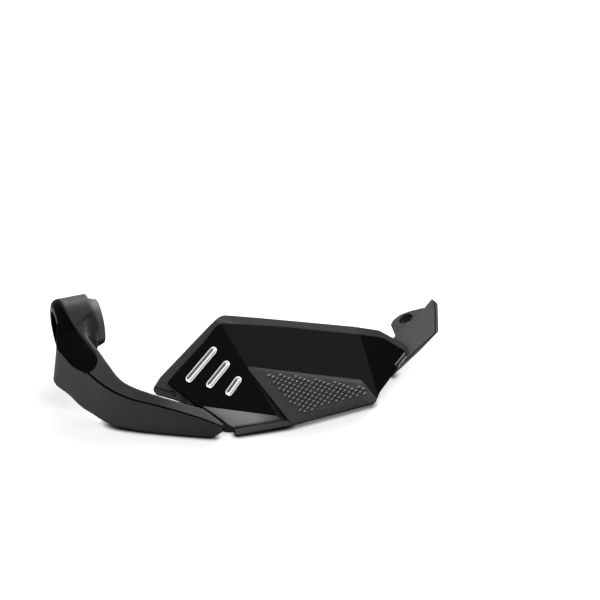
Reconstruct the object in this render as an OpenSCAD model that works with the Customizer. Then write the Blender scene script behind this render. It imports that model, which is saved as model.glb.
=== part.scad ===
// Motorcycle hand guard: a ring on the bar end, an arm, a faceted shield and an inner bracket.
// The origin is the centre of the ring's bore on its outboard face. +X runs inboard along the
// handlebar, +Y points to the rider and +Z is up. Lengths are in millimetres.

/* [Bar end ring] */
// Bore that slips over the bar end
bore_d = 28; // [25:0.5:31]
// Outside diameter of the ring
ring_d = 47; // [45:0.5:52]
// Length of the full-diameter part of the ring
ring_len = 28; // [25:1:34]
// Diameter of the flat outboard face
ring_face_d = 35; // [33:0.5:40]
// Length of the rounded outboard edge
ring_round = 6; // [3:0.5:9]
// Chamfer at the bore's inboard mouth
bore_chamfer = 1.5; // [0.5:0.1:2.5]
// Length of the collar on the inboard side
collar_len = 8; // [5:0.5:12]
// Diameter where the collar leaves the ring
collar_d = 40.5; // [38:0.5:44]
// Diameter at the collar's free end
collar_end_d = 35; // [33:0.5:37]
// Depth of the dished thumb relief on the ring
dish_depth = 2.8; // [1:0.1:4]
// Radius of the ball that dishes the relief
dish_r = 28; // [26:1:44]

/* [Arm] */
// Wall of the arm, measured square to its faces
arm_wall = 7; // [5:0.5:8]
// Radius of the arm's rounded lower edge
arm_edge_r = 2.6; // [1:0.2:4]
// Depth of the bed for the inlay
inlay_t = 2.4; // [1.5:0.1:3.2]
// Clearance round the inlay
inlay_gap = 0.25; // [0.1:0.05:0.4]

/* [Shield] */
// Lean of the shield from the vertical
lean = 50; // [44:1:56]
// Distance from the bar's axis forward to the shield's lower edge
front_y = 128; // [122:1:136]
// Drop from the bar's axis to the shield's lower edge
drop = 43; // [42:0.5:46]
// Height of the crown over the shield's base plane
crown = 8; // [6:0.5:10]
// Place of the crown along the shield
crown_u = 120; // [114:1:126]
// Fall of the outboard facet, per mm along the shield
left_slope = 0.19; // [0.14:0.01:0.24]
// Twist of the outboard facet, per mm up the shield
left_twist = 0.07; // [0.04:0.01:0.09]
// Fall of the middle facet
mid_slope = 0.05; // [0.03:0.01:0.08]
// Fall of the inboard facet
right_slope = 0.26; // [0.2:0.01:0.3]
// Place of the crease before the inboard facet
right_u = 222; // [216:1:228]
// Wall of the outer shell
skin_t = 3.8; // [3:0.1:4.5]
// Clearance between pieces that lie on one another
seat = 0.1; // [0.05:0.05:0.2]
// Wall of the frame behind the shell
frame_t = 3; // [2.5:0.1:4]
// Height of the ribs on the frame's back
rib_h = 3; // [1:0.5:4]
// Wall of those ribs
rib_t = 1.6; // [1.2:0.1:2.4]
// Radius of the rolled lip along the lower edge
lip_r = 2.6; // [2:0.1:3]

/* [Pad] */
// Height of the pad's face over the base plane at its upper end
pad_face = 13.5; // [12:0.5:15]
// Rise of the pad's face towards the lower edge, per mm
pad_rise = 0.12; // [0.06:0.01:0.16]
// Pitch of the pyramids along the rows that fall inboard
knurl_pitch = 3.4; // [3:0.1:5]
// Pitch of the pyramids along the rows that rise inboard
knurl_rise_pitch = 3.7; // [3:0.1:5]
// Slope of both rows
knurl_angle = 35; // [30:1:45]
// Height of the pyramids
knurl_h = 1; // [0.5:0.1:1.2]
// Diameter of the pad's pins
pad_pin_d = 4; // [3:0.5:5]

/* [Accents] */
// Width of the metal accents
accent_w = 7; // [6:0.5:8]
// Angle of the accents to the shield's base line
accent_angle = 35; // [30:1:40]
// Length of the long accent
accent_long_len = 35.5; // [30:0.5:38]
// Length of the middle accent
accent_mid_len = 27; // [22:0.5:30]
// Length of the short accent
accent_short_len = 18.8; // [16:0.2:22]
// Height of the accents over the shell
accent_proud = 1.2; // [0.6:0.1:1.8]
// Diameter of the accents' pins
accent_pin_d = 3; // [2.5:0.5:3.5]

/* [Inner bracket] */
// Wall of the bracket
bracket_t = 4; // [3:0.5:5]
// Angle between the lug and the blade
lug_turn = 45; // [35:1:55]
// Diameter of the bolt hole in the lug's bush
lug_hole_d = 6.4; // [5.4:0.1:7]
// Wall of the bush's sleeve
bush_wall = 1.2; // [1:0.1:1.6]
// Diameter of the counterbore in the lug
lug_bore_d = 11.6; // [11:0.1:12]
// Depth of the counterbore
lug_bore_depth = 3; // [2:0.5:4]
// Wall of the lug
lug_t = 7; // [6:0.5:9]

/* [Fasteners] */
// Shank of the screws that hold the shell
screw_d = 3.5; // [3:0.5:4]
// Head of the screws that hold the shell
screw_head_d = 8; // [7:0.5:9]
// Head height of the screws that hold the shell
screw_head_h = 2.4; // [2:0.2:3]
// Shank of the bolts that hold the arm and the bracket
bolt_d = 5; // [4:0.5:6]
// Head of those bolts
bolt_head_d = 8.5; // [8:0.5:9.5]
// Head height of those bolts
bolt_head_h = 3; // [2.5:0.5:4]
// Outside diameter of the washers
washer_d = 10; // [9.8:0.2:11]
// Wall of the washers
washer_t = 1; // [0.8:0.2:1.4]
// Outside diameter of the threaded inserts
insert_d = 7; // [6.6:0.2:8]
// Length of the threaded inserts
insert_len = 5; // [4:0.5:5.5]
// Shank of the screws that hold the inlay
inlay_screw_d = 2.6; // [2.2:0.2:3]
// Head of the screws that hold the inlay
inlay_head_d = 5.2; // [4.6:0.2:5.6]

/* [Hidden] */
$fn = 48;
eps = 0.01;
far = 1500;

// Plain vector helpers
function unit(v) = v / norm(v);
function cross_2d(a, b) = a[0] * b[1] - a[1] * b[0];

// Corner [x, y, radius] of an outline as arc points between its two neighbours
function corner(a, p, b) =
    p[2] == 0 ? [[p[0], p[1]]] :
    let (
        q = [p[0], p[1]],
        ua = unit([a[0], a[1]] - q),
        ub = unit([b[0], b[1]] - q),
        half = acos(ua * ub) / 2,
        centre = q + unit(ua + ub) * p[2] / sin(half),
        start = q + ua * p[2] / tan(half) - centre,
        turn = (180 - 2 * half) * sign(cross_2d(ua, ub)) * -1,
        steps = max(2, ceil(abs(turn) / 15))
    )
    [for (i = [0:steps])
        let (t = turn * i / steps)
        centre + [start[0] * cos(t) - start[1] * sin(t), start[0] * sin(t) + start[1] * cos(t)]];

// Outline of [x, y, radius] corners with every corner rounded
function rounded(pts) =
    [for (i = [0:len(pts) - 1])
        each corner(pts[(i + len(pts) - 1) % len(pts)], pts[i], pts[(i + 1) % len(pts)])];

// Clockwise outline of [x, y, radius] corners, moved inward by d
function inset(pts, d) =
    [for (i = [0:len(pts) - 1])
        let (
            n = len(pts),
            a = pts[(i + n - 1) % n],
            p = pts[i],
            b = pts[(i + 1) % n],
            e = unit([p[0] - a[0], p[1] - a[1]]),
            f = unit([b[0] - p[0], b[1] - p[1]]),
            m = ([e[1], -e[0]] + [f[1], -f[0]]) / (1 + e * f),
            r = cross_2d(e, f) < 0 ? max(p[2] - d, 0) : p[2] + max(d, 0)
        )
        [p[0] + m[0] * d, p[1] + m[1] * d, r]];

// Shield coordinates: u along the shield, v up its face and w square out of it.
// A facet is [height at u = v = 0, rise per mm of u, rise per mm of v].
facet_left = [crown - left_slope * crown_u - left_twist * 70, left_slope, left_twist];
facet_mid = [crown + mid_slope * crown_u, -mid_slope, 0];
right_h = crown - mid_slope * (right_u - crown_u);
facet_right = [right_h + right_slope * right_u, -right_slope, 0];

function on_facet(f, u, v) = f[0] + f[1] * u + f[2] * v;
function facet_through(p, q, r) =
    let (n = cross(q - p, r - p))
    [p[2] + (n[0] * p[0] + n[1] * p[1]) / n[2], -n[0] / n[2], -n[1] / n[2]];

// The chin facet falls away below a line on the outboard facet
chin_a = [84.7, 30.4];
chin_b = [143.7, 6];
chin_fall = 4.2;
chin_low = [108, 8];
facet_chin = facet_through(
    [chin_a[0], chin_a[1], on_facet(facet_left, chin_a[0], chin_a[1])],
    [chin_b[0], chin_b[1], on_facet(facet_left, chin_b[0], chin_b[1])],
    [chin_low[0], chin_low[1], on_facet(facet_left, chin_low[0], chin_low[1]) - chin_fall]
);
facets = [facet_left, facet_mid, facet_right, facet_chin];
function shell_w(u, v) = min([for (f = facets) on_facet(f, u, v)]);

// Child drawn on z = 0 is laid on a facet at a place [u, v], sunk by an amount
module on_plane(f, at, sink = 0) {
    translate([at[0], at[1], on_facet(f, at[0], at[1])])
        rotate([atan2(f[2], sqrt(1 + f[1] * f[1])), -atan(f[1]), 0])
            translate([0, 0, -sink]) children();
}

module on_shield() {
    translate([0, -front_y, -drop]) rotate([90 - lean, 0, 0]) children();
}

// Half space below a facet that is sunk square to itself
module below(f, sink = 0) {
    on_plane(f, [0, 0], sink) translate([-far, -far, -far]) cube([2 * far, 2 * far, far]);
}

// All that lies under the shell's outer facets, each sunk by an amount
module under_shell(sink = 0) {
    intersection_for (f = facets) below(f, sink);
}

// Straight prism over an outline, from w = low to w = high
module prism(pts, low = -30, high = 30) {
    translate([0, 0, low]) linear_extrude(height = high - low) polygon(pts);
}

// Everything lower than the plane that the lower edges are trimmed to
module under_floor(rise = 0) {
    translate([-far, -far, -drop - 2 * far + rise]) cube([2 * far, 2 * far, 2 * far]);
}

// Outline of the shell, clockwise from its outboard corner
skin_pts = [
    [66, 54.5, 1], [100, 77.7, 30], [113, 88.5, 10], [160.2, 76.7, 0], [222.2, 58.2, 60],
    [241, 53.5, 10], [257.9, 39.9, 0.8], [244.7, 31, 0.8], [246, 26.6, 0], [224.6, 10.2, 6],
    [218.5, 2.8, 1.5], [148.5, -0.8, 0], [105, 1.3, 1], [83.2, 31, 3]
];
// Outline of the frame's rim, clockwise from its outboard corner
frame_pts = [
    [55, 53.2, 3], [61.9, 60.1, 0], [107.7, 89.8, 20], [118, 95.6, 10], [147.6, 87.5, 0],
    [217.5, 67.3, 40], [242, 60.6, 10], [263, 44.6, 3], [263.2, 39.2, 3], [246.5, 26.8, 2],
    [224, 11.5, 4], [217, 7, 2], [150, 8.4, 0], [106.5, 10.5, 2], [84, 14.5, 6], [66, 21, 6],
    [55, 32, 4], [56.5, 41, 3], [74, 34, 0.8], [76.7, 35.6, 0.5], [68.4, 41.6, 1], [57, 48.4, 1.5]
];

// Outline of the step at the frame's outboard corner, and its depth
step_pts = [[50, 58.1], [70, 46.3], [70.2, 44], [66.5, 39], [50, 45]];
step_depth = 0.8;

// Places of the screws that hold the shell, in shield coordinates
skin_screw_at = [[84, 40], [122, 82], [170, 66], [217, 54], [224, 21]];
// Places of the pad's pins
pad_pin_at = [[137, 38], [155, 10], [205, 14]];
// Places of the two bolts that hold the arm's foot to the frame
arm_bolt_at = [[62, 31.5], [73.5, 27.5]];
// Places of the two bolts that hold the bracket's foot to the frame
bracket_bolt_at = [[236, 46], [236, 31]];

boss_d = 8;
boss_gap = 0.3;
spot_d = 12;
spot_proud = 2.2;
spot_h = 12;
frame_front = skin_t + seat;
frame_back = frame_front + frame_t;
function spot_w(p) = shell_w(p[0], p[1]) - frame_back - spot_proud;

// Accents: the middle of each bar on the outboard facet, in a row of even pitch
accent_row = 14.7;
accent_mid_at = [103.6, 49.8];
accent_dir = [cos(accent_angle), sin(accent_angle)];
accent_side = [-sin(accent_angle), cos(accent_angle)];
accent_long_at = accent_mid_at + accent_side * accent_row - accent_dir * 2.4;
accent_short_at = accent_mid_at - accent_side * accent_row + accent_dir * 0.8;
accent_pin_len = skin_t + frame_t + spot_proud + 3;
function accent_pins(at, length) =
    [for (s = [-1, 1]) at + accent_dir * s * (length / 2 - accent_w / 2 - 1)];

module at_spot(p, w) {
    translate([p[0], p[1], w]) children();
}

// Child drawn along x is laid on the outboard facet in line with the accents
module on_left_facet(at, sink = 0) {
    on_plane(facet_left, at, sink) rotate(accent_angle) children();
}

module capsule_2d(length, width) {
    for (s = [-1, 1]) translate([s * (length - width) / 2, 0]) circle(d = width);
    square([length - width, width], center = true);
}

// Polished bar: a capsule with a hollow channel, and two pins on its back
module accent(at, length) {
    channel = accent_w - 3;
    difference() {
        on_left_facet(at, skin_t - 1)
            linear_extrude(height = skin_t - 1 + accent_proud) capsule_2d(length, accent_w);
        on_left_facet(at) translate([0, 0, accent_proud]) {
            rotate([0, 90, 0]) cylinder(d = channel, h = length - accent_w, center = true);
            for (s = [-1, 1]) translate([s * (length - accent_w) / 2, 0, 0]) sphere(d = channel);
        }
    }
    for (p = accent_pins(at, length))
        at_spot(p, shell_w(p[0], p[1]) - accent_pin_len) cylinder(d = accent_pin_d, h = accent_pin_len - 2);
}

module accent_slot(at, length) {
    on_left_facet(at, skin_t - 1 + seat)
        linear_extrude(height = 10) capsule_2d(length + 0.3, accent_w + 0.3);
    for (p = accent_pins(at, length))
        at_spot(p, shell_w(p[0], p[1]) - 20) cylinder(d = accent_pin_d + 0.4, h = 20);
}

// Pad: edge corners [u, v] and the height of the face along its inner border
pad_pts = [
    [125, 50.5, 1], [211, 21, 5], [217.5, 9, 2], [218.3, 2.9, 0.8], [148.6, -1.4, 0], [145.7, 2.8, 0]
];
pad_top = [pad_face + pad_rise * 40, 0, -pad_rise];
// Bevels of the pad: two points low on the edge and one on the face
pad_bevels = [
    facet_through([125, 50.5, 9], [211, 21.5, 8], [166, 32, on_facet(pad_top, 166, 32)]),
    facet_through([125, 50.5, 8.6], [145.7, 2.8, 9.5], [144, 27, on_facet(pad_top, 144, 27)]),
    facet_through([148.6, -1.4, 5.5], [218.3, 2.9, 3], [184, 5, on_facet(pad_top, 184, 5)]),
    facet_through([211, 21, 8], [217.5, 9, 5.5], [209, 13, on_facet(pad_top, 209, 13)])
];
field_pts = [[136.4, 41.5], [186.8, 22.6], [209, 11.6], [209, 9.8], [206.5, 7.6], [153.2, 4]];
// One of the pyramids, in the middle of the field
knurl_at = [177.6, 15.4];

// True where a point lies inside a clockwise convex outline
function inside(p, pts) =
    min([for (i = [0:len(pts) - 1])
        let (a = pts[i], b = pts[(i + 1) % len(pts)])
        -cross_2d([b[0] - a[0], b[1] - a[1]], [p[0] - a[0], p[1] - a[1]])]) > 0;

module pad_body() {
    difference() {
        intersection() {
            prism(rounded(pad_pts), -20, 25);
            below(pad_top);
            for_bevels();
        }
        under_shell(-seat);
    }
}

module for_bevels() {
    intersection_for (f = pad_bevels) below(f);
}

// Pyramid on a diamond with half diagonals a and b, its foot sunk a little
module pyramid(a, b, h) {
    foot = [[a, 0, -0.2], [0, b, -0.2], [-a, 0, -0.2], [0, -b, -0.2]];
    polyhedron(
        concat(foot, [[0, 0, h]]),
        concat([for (i = [0:3]) [i, 4, (i + 1) % 4]], [[0, 1, 2], [0, 2, 3]])
    );
}

module pad_pyramids() {
    fall = [cos(knurl_angle), -sin(knurl_angle)] * knurl_pitch;
    rise = [cos(knurl_angle), sin(knurl_angle)] * knurl_rise_pitch;
    cell = 0.47;
    for (i = [-14:14], j = [-10:10]) {
        p = knurl_at + fall * i + rise * j;
        if (inside(p, field_pts))
            at_spot(p, on_facet(pad_top, p[0], p[1]))
                pyramid(cell * (fall[0] + rise[0]), cell * (rise[1] - fall[1]), knurl_h);
    }
}

module knurled_pad() {
    color("#2c2c2e") on_shield() {
        pad_body();
        pad_pyramids();
        for (p = pad_pin_at)
            at_spot(p, spot_w(p) - 3) cylinder(d = pad_pin_d, h = shell_w(p[0], p[1]) - spot_w(p) + 5);
    }
}

module pad_clips() {
    color("#8c8f94") on_shield() for (p = pad_pin_at) at_spot(p, spot_w(p) - seat - 1.2) clip(pad_pin_d);
}

module clip(pin_d) {
    difference() {
        cylinder(d = pin_d + 5, h = 1.2);
        translate([0, 0, -eps]) cylinder(d = pin_d + 0.1, h = 2);
    }
}

module accent_clips() {
    color("#8c8f94") on_shield()
        for (a = [[accent_long_at, accent_long_len], [accent_mid_at, accent_mid_len], [accent_short_at, accent_short_len]])
            for (p = accent_pins(a[0], a[1])) at_spot(p, spot_w(p) - seat - 1.2) clip(accent_pin_d);
}

module accent_long() {
    color("#d9dbdf") on_shield() accent(accent_long_at, accent_long_len);
}

module accent_middle() {
    color("#d9dbdf") on_shield() accent(accent_mid_at, accent_mid_len);
}

module accent_short() {
    color("#d9dbdf") on_shield() accent(accent_short_at, accent_short_len);
}

// Rolled lip along the outboard part of the lower edge
lip_a = [106.8, 4.4, 0];
lip_b = [146, 2.4, 1.4];
module lip() {
    hull() for (p = [lip_a, lip_b]) translate(p) sphere(r = lip_r, $fn = 32);
}

module shield_skin() {
    color("#1b1b1d") difference() {
        on_shield() difference() {
            union() {
                difference() {
                    intersection() {
                        prism(rounded(skin_pts));
                        under_shell();
                    }
                    under_shell(skin_t);
                }
                lip();
                for (p = skin_screw_at)
                    at_spot(p, spot_w(p) + seat)
                        cylinder(d = boss_d, h = shell_w(p[0], p[1]) - spot_w(p) - 2);
            }
            accent_slot(accent_long_at, accent_long_len);
            accent_slot(accent_mid_at, accent_mid_len);
            accent_slot(accent_short_at, accent_short_len);
            for (p = skin_screw_at)
                at_spot(p, spot_w(p) - 1) cylinder(d = screw_d - 0.1, h = frame_t + spot_proud + 2);
            for (p = pad_pin_at)
                at_spot(p, spot_w(p)) cylinder(d = pad_pin_d + 0.4, h = 30);
        }
        under_floor();
    }
}

// Flat spots on the frame's back under every head, clip and washer
module frame_spots() {
    for (p = concat(skin_screw_at, pad_pin_at)) at_spot(p, spot_w(p)) cylinder(d = spot_d, h = spot_h);
    for (p = clip_spots()) at_spot(p, spot_w(p)) cylinder(d = accent_pin_d + 6, h = spot_h);
    for (p = arm_bolt_at)
        on_plane(facet_chin, p, frame_back + spot_proud) cylinder(d = washer_d + 1, h = spot_h);
    for (p = bracket_bolt_at)
        on_plane(facet_right, p, frame_back + spot_proud) cylinder(d = washer_d + 1, h = spot_h);
}

// Ribs on the frame's back, each from a point [u, v] to another
rib_lines = [
    [[80, 22], [226, 16]], [[84, 46], [226, 34]], [[96, 68], [226, 52]],
    [[96, 0], [106, 96]], [[120, 0], [118, 96]], [[146, 0], [132, 96]],
    [[164, 0], [178, 90]], [[192, 0], [196, 90]], [[212, 0], [212, 90]]
];
// Width of the plain border between the ribs' ends and the frame's edge
rib_border = 4;

module rib_bar(a, b) {
    run = b - a;
    translate([a[0], a[1], -40]) rotate(atan2(run[1], run[0]))
        translate([0, -rib_t / 2, 0]) cube([norm(run), rib_t, 60]);
}

// The ribs run into the round bosses and leave the heads on them free
module frame_ribs() {
    difference() {
        intersection() {
            prism(rounded(inset(frame_pts, rib_border)), -40, 20);
            under_shell(frame_back - 1);
            for (r = rib_lines) rib_bar(r[0], r[1]);
        }
        under_shell(frame_back + rib_h);
        for (p = concat(skin_screw_at, pad_pin_at, clip_spots()))
            at_spot(p, spot_w(p) - 40) cylinder(d = spot_d + 0.5, h = 40);
    }
}

// The frame's front face, lower by a step at the outboard corner
module frame_face() {
    difference() {
        under_shell(frame_front);
        difference() {
            prism(step_pts);
            under_shell(frame_front + step_depth);
        }
    }
}

module backing_frame() {
    color("#3a3b3d") difference() {
        on_shield() difference() {
            intersection() {
                frame_face();
                union() {
                    difference() {
                        prism(rounded(frame_pts));
                        under_shell(frame_back);
                    }
                    frame_spots();
                    frame_ribs();
                }
            }
            for (p = skin_screw_at)
                at_spot(p, spot_w(p) - 1) cylinder(d = boss_d + 2 * boss_gap, h = 30);
            for (p = pad_pin_at)
                at_spot(p, spot_w(p) - 1) cylinder(d = pad_pin_d + 0.4, h = 30);
            for (p = clip_spots())
                at_spot(p, spot_w(p) - 1) cylinder(d = accent_pin_d + 0.4, h = 30);
            for (p = arm_bolt_at)
                on_plane(facet_chin, p, frame_back + spot_proud + 1) cylinder(d = bolt_d + 0.5, h = 30);
            for (p = bracket_bolt_at)
                on_plane(facet_right, p, frame_back + spot_proud + 1) cylinder(d = insert_d + 0.1, h = 30);
        }
        under_floor(1);
    }
}

function clip_spots() = concat(
    accent_pins(accent_long_at, accent_long_len),
    accent_pins(accent_mid_at, accent_mid_len),
    accent_pins(accent_short_at, accent_short_len)
);

module skin_screws() {
    color("#8c8f94") on_shield() for (p = skin_screw_at) at_spot(p, spot_w(p) - seat) {
        translate([0, 0, -screw_head_h]) cylinder(d = screw_head_d + 2, h = screw_head_h);
        cylinder(d = screw_d - 0.2, h = frame_t + spot_proud);
    }
}

// Guide curves of the arm from inside the ring to the tip
lower_guide = [
    [1.5, -6, -17], [-12.2, -35, -25.3], [-3.3, -50.6, -30.3], [5.7, -64.6, -35.9], [18.5, -82.8, -40.3],
    [32.1, -92.8, -41.8], [48.6, -102.8, -42.8], [68.6, -113.8, -43], [86.7, -122.8, -42.6],
    [94.5, -126.6, -36.8]
];
crease_guide = [
    [1.5, -6, 17], [-6, -31, 5], [0.1, -48, -0.2], [9.7, -61.5, -3], [19.7, -78, -8.4],
    [33.6, -88, -15], [49.6, -96.5, -19.2], [69, -109, -23], [86.5, -121.5, -27.2], [95, -126.6, -31.4]
];
upper_guide = [
    [26, -6, 17], [20, -31, 9], [23.3, -50, 5], [26, -63, 1.8], [30.6, -76, -3.7],
    [37.6, -83.5, -8], [51.6, -90.5, -13.7], [72.8, -102, -20], [89.8, -112.6, -24.1], [99.4, -121.3, -29.7]
];
guide_steps = 4;

// Point at a fraction t of span i on a smooth curve through the guide's points
function spline(g, i, t) =
    let (a = g[max(i - 1, 0)], b = g[i], c = g[i + 1], d = g[min(i + 2, len(g) - 1)])
    i == 0 ? b + (c - b) * t :
    0.5 * (2 * b + (c - a) * t + (2 * a - 5 * b + 4 * c - d) * t * t + (3 * b - a - 3 * c + d) * t * t * t);
function smooth(g) = [
    for (i = [0:len(g) - 2], k = [0:guide_steps - 1]) spline(g, i, k / guide_steps),
    g[len(g) - 1]
];

// Closed section of the arm at station i: the rounded lower edge, the crease and the top edge
// outside, and three points inside
arm_edge_steps = 2;
section_points = arm_edge_steps + 6;
function arm_section(low, mid, top, i, wall) =
    let (
        n = len(low) - 1,
        along = unit(mid[min(i + 1, n)] - mid[max(i - 1, 0)]),
        up = unit(mid[i] - low[i]),
        face = unit(cross(up, along)),
        bevel = unit(cross(top[i] - mid[i], along)),
        edge = (face + bevel) / (1 + face * bevel)
    )
    [
        for (k = [0:arm_edge_steps])
            let (t = 90 - 90 * k / arm_edge_steps)
            low[i] + (up * (1 - sin(t)) + face * (1 - cos(t))) * arm_edge_r,
        mid[i], top[i], top[i] + bevel * wall, mid[i] + edge * wall, low[i] + face * wall
    ];

// Angle section swept along the guides, thinner over the last stretch
tip_share = 0.6;
module arm_blade() {
    low = smooth(lower_guide);
    mid = smooth(crease_guide);
    top = smooth(upper_guide);
    n = len(low);
    m = section_points;
    points = [
        for (i = [0:n - 1])
            each arm_section(low, mid, top, i, arm_wall * (i > n - 2 * guide_steps ? tip_share : 1))
    ];
    sides = [
        for (i = [0:n - 2], k = [0:m - 1])
            let (a = i * m + k, b = i * m + (k + 1) % m)
            each [[a, b, b + m], [a, b + m, a + m]]
    ];
    cap = concat(
        [for (k = [0:arm_edge_steps - 1]) [k, k + 1, m - 1]],
        [[m - 6, m - 5, m - 2], [m - 6, m - 2, m - 1], [m - 5, m - 4, m - 3], [m - 5, m - 3, m - 2]]
    );
    e = (n - 1) * m;
    start = [for (c = cap) [c[0], c[2], c[1]]];
    end = [for (c = cap) [c[0] + e, c[1] + e, c[2] + e]];
    polyhedron(points, concat(sides, start, end));
}

// Ring and collar as one turned body, its surface sunk by an amount
module ring_body(sunk = 0) {
    face_r = ring_face_d / 2 - sunk;
    out_r = ring_d / 2 - sunk;
    profile = concat(
        [[0, sunk]],
        [for (a = [0:15:90]) [face_r + (out_r - face_r) * sin(a), sunk + ring_round * (1 - cos(a))]],
        [[out_r, ring_len - sunk], [0, ring_len - sunk]]
    );
    rotate([0, 90, 0]) rotate_extrude($fn = 96) polygon(profile);
}

// Place of the dish: along the bar, and its turn up from the ring's front
dish_x = 29.4;
dish_turn = 34;
module ring_dish() {
    reach = ring_d / 2 + dish_r - dish_depth;
    rotate([-dish_turn, 0, 0]) translate([dish_x, -reach, 0]) sphere(r = dish_r, $fn = 96);
}

module collar() {
    translate([ring_len - 4, 0, 0]) rotate([0, 90, 0]) {
        cylinder(d = collar_d, h = 4, $fn = 96);
        translate([0, 0, 4]) cylinder(d1 = collar_d, d2 = collar_end_d, h = collar_len, $fn = 96);
    }
}

module bore() {
    length = ring_len + collar_len;
    rotate([0, 90, 0]) {
        translate([0, 0, -30]) cylinder(d = bore_d, h = length + 60, $fn = 96);
        translate([0, 0, length - bore_chamfer + eps])
            cylinder(d1 = bore_d, d2 = bore_d + 2 * bore_chamfer, h = bore_chamfer, $fn = 96);
    }
}

module arm_form() {
    difference() {
        ring_body();
        ring_dish();
    }
    arm_blade();
}

// Plane of the inlay: it faces forward, up and a little outboard
module facing_inlay() {
    rotate([0, 0, -10]) rotate([57, 0, 0]) children();
}
// Outline of the inlay in that plane, clockwise
inlay_pts = [
    [-10, 60, 0], [0, 60, 0], [3.8, 25.5, 30], [13, 3, 40], [31.7, -28.4, 8.8], [16.2, -38.3, 8.8],
    [-0.5, -13.3, 10], [-10, 0.5, 0]
];
// Plane through the arm's bevel under the inlay, as a facet over x and y
bed = [16.2, 0.225, 0.34];
// Places [x, y] of the inlay's screws
inlay_screw_at = [[9, -41], [16, -56]];

module inlay_zone(gap = 0) {
    difference() {
        facing_inlay() prism(rounded(inset(inlay_pts, -gap)), -10, 90);
        rotate([0, 90, 0]) translate([0, 0, -40]) cylinder(d = ring_face_d + 1 - 2 * gap, h = 42, $fn = 96);
    }
}

// What stays under the inlay when its bed is sunk by a depth
module inlay_core(depth) {
    ring_body(depth);
    below(bed, depth);
}

module bar_end_arm() {
    color("#4a4b4e") difference() {
        union() {
            difference() {
                arm_form();
                difference() {
                    inlay_zone(inlay_gap);
                    inlay_core(inlay_t + seat);
                }
            }
            collar();
            arm_foot();
        }
        bore();
        for (p = inlay_screw_at) {
            on_plane(bed, p, 30) cylinder(d = inlay_screw_d + 0.4, h = 60);
            on_plane(bed, p, 40) cylinder(d = inlay_head_d + 0.8, h = 40 - arm_wall + inlay_head_sink);
        }
        on_shield() {
            prism(rounded(inset(skin_pts, -0.6)), -40, 60);
            intersection() {
                prism(rounded(inset(frame_pts, -0.5)), -60, 60);
                under_shell(frame_front - seat);
            }
            for (p = arm_bolt_at)
                on_plane(facet_chin, p, 30) cylinder(d = insert_d + 0.1, h = 30 - frame_front + insert_len + 1);
        }
        under_floor();
    }
}

// Foot under the arm's tip: it lies on the frame and holds the threaded inserts
module arm_foot() {
    on_shield() hull() for (p = arm_bolt_at)
        on_plane(facet_chin, p, frame_front - seat)
            cylinder(d = insert_d + 4, h = insert_len + 1.5, $fn = 32);
}

module arm_inlay() {
    color("#0e0e0f") difference() {
        intersection() {
            arm_form();
            inlay_zone();
        }
        inlay_core(inlay_t);
        bore();
        for (p = inlay_screw_at) on_plane(bed, p, 10) cylinder(d = inlay_screw_d + 0.1, h = 10 - inlay_skin);
    }
}

// The inlay's screws come from behind, their heads sunk in the arm's back
inlay_head_sink = 1.2;
inlay_skin = 1;
module inlay_screws() {
    under_head = arm_wall - inlay_head_sink;
    color("#8c8f94") for (p = inlay_screw_at) on_plane(bed, p, under_head + seat) {
        translate([0, 0, -1.6]) cylinder(d = inlay_head_d, h = 1.6);
        cylinder(d = inlay_screw_d, h = under_head - inlay_skin - seat);
    }
}

// Bolt with its head's underside on z = 0 and its shank along +z
module bolt(length) {
    translate([0, 0, -bolt_head_h]) cylinder(d = bolt_head_d, h = bolt_head_h);
    cylinder(d = bolt_d, h = length);
}

module washer() {
    difference() {
        cylinder(d = washer_d, h = washer_t);
        translate([0, 0, -eps]) cylinder(d = bolt_d + 0.4, h = washer_t + 1);
    }
}

module insert() {
    difference() {
        cylinder(d = insert_d, h = insert_len);
        translate([0, 0, -eps]) cylinder(d = bolt_d + 0.1, h = insert_len + 1);
    }
}

// The arm's bolts stand square to the chin facet and come from behind
arm_washer_back = frame_back + spot_proud + seat + washer_t;
module arm_bolts() {
    color("#8c8f94") on_shield() for (p = arm_bolt_at)
        on_plane(facet_chin, p, arm_washer_back + seat) bolt(arm_washer_back - frame_front + insert_len - 0.5);
}

module arm_washers() {
    color("#b9bcc1") on_shield() for (p = arm_bolt_at) on_plane(facet_chin, p, arm_washer_back) washer();
}

module arm_inserts() {
    color("#b08d45") on_shield() for (p = arm_bolt_at) on_plane(facet_chin, p, frame_front - 0.5) insert();
}

// Bracket: a foot on the frame's back, a blade that runs inboard and a lug folded off its edge
foot_pts = [[230.5, 51.5, 5], [243, 54, 3], [252, 52, 2], [252, 34, 3], [243, 27, 3], [230.5, 26.5, 5]];
// Plane of the blade's front, as a facet: its rise inboard and its drop under the shell
blade_rise = 0.10;
blade_drop = 9.96;
blade_u = 256;
blade = [on_facet(facet_right, blade_u, 0) - blade_drop - blade_rise * blade_u, blade_rise, 0];
// Ends of the fold between blade and lug
fold_a = [256.8, 55.7];
fold_b = [288.2, 73.7];
blade_pts = [
    [245, 24.6, 1], [245, 49.5, 1], [fold_a[0], fold_a[1], 1], [fold_b[0], fold_b[1], 0.5], [295.4, 79, 1],
    [298.8, 74, 3], [292.4, 51.3, 3], [274.5, 40.4, 0]
];
// Outline of the lug from its fold, clockwise
lug_pts = [
    [1, -6, 0], [1, 1, 0], [8.2, 14.1, 3], [13, 15.8, 4], [20, 14.8, 4], [27.4, 9, 2], [34.5, 1, 0],
    [34.5, -6, 0]
];
lug_hole_at = [18.7, 6];
foot_front = frame_back + spot_proud + seat;
bracket_washer_back = foot_front + bracket_t + seat + washer_t;

module on_lug() {
    run = fold_b - fold_a;
    on_plane(blade, fold_a) rotate([0, 0, atan2(run[1], run[0])]) rotate([-lug_turn, 0, 0]) children();
}

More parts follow.
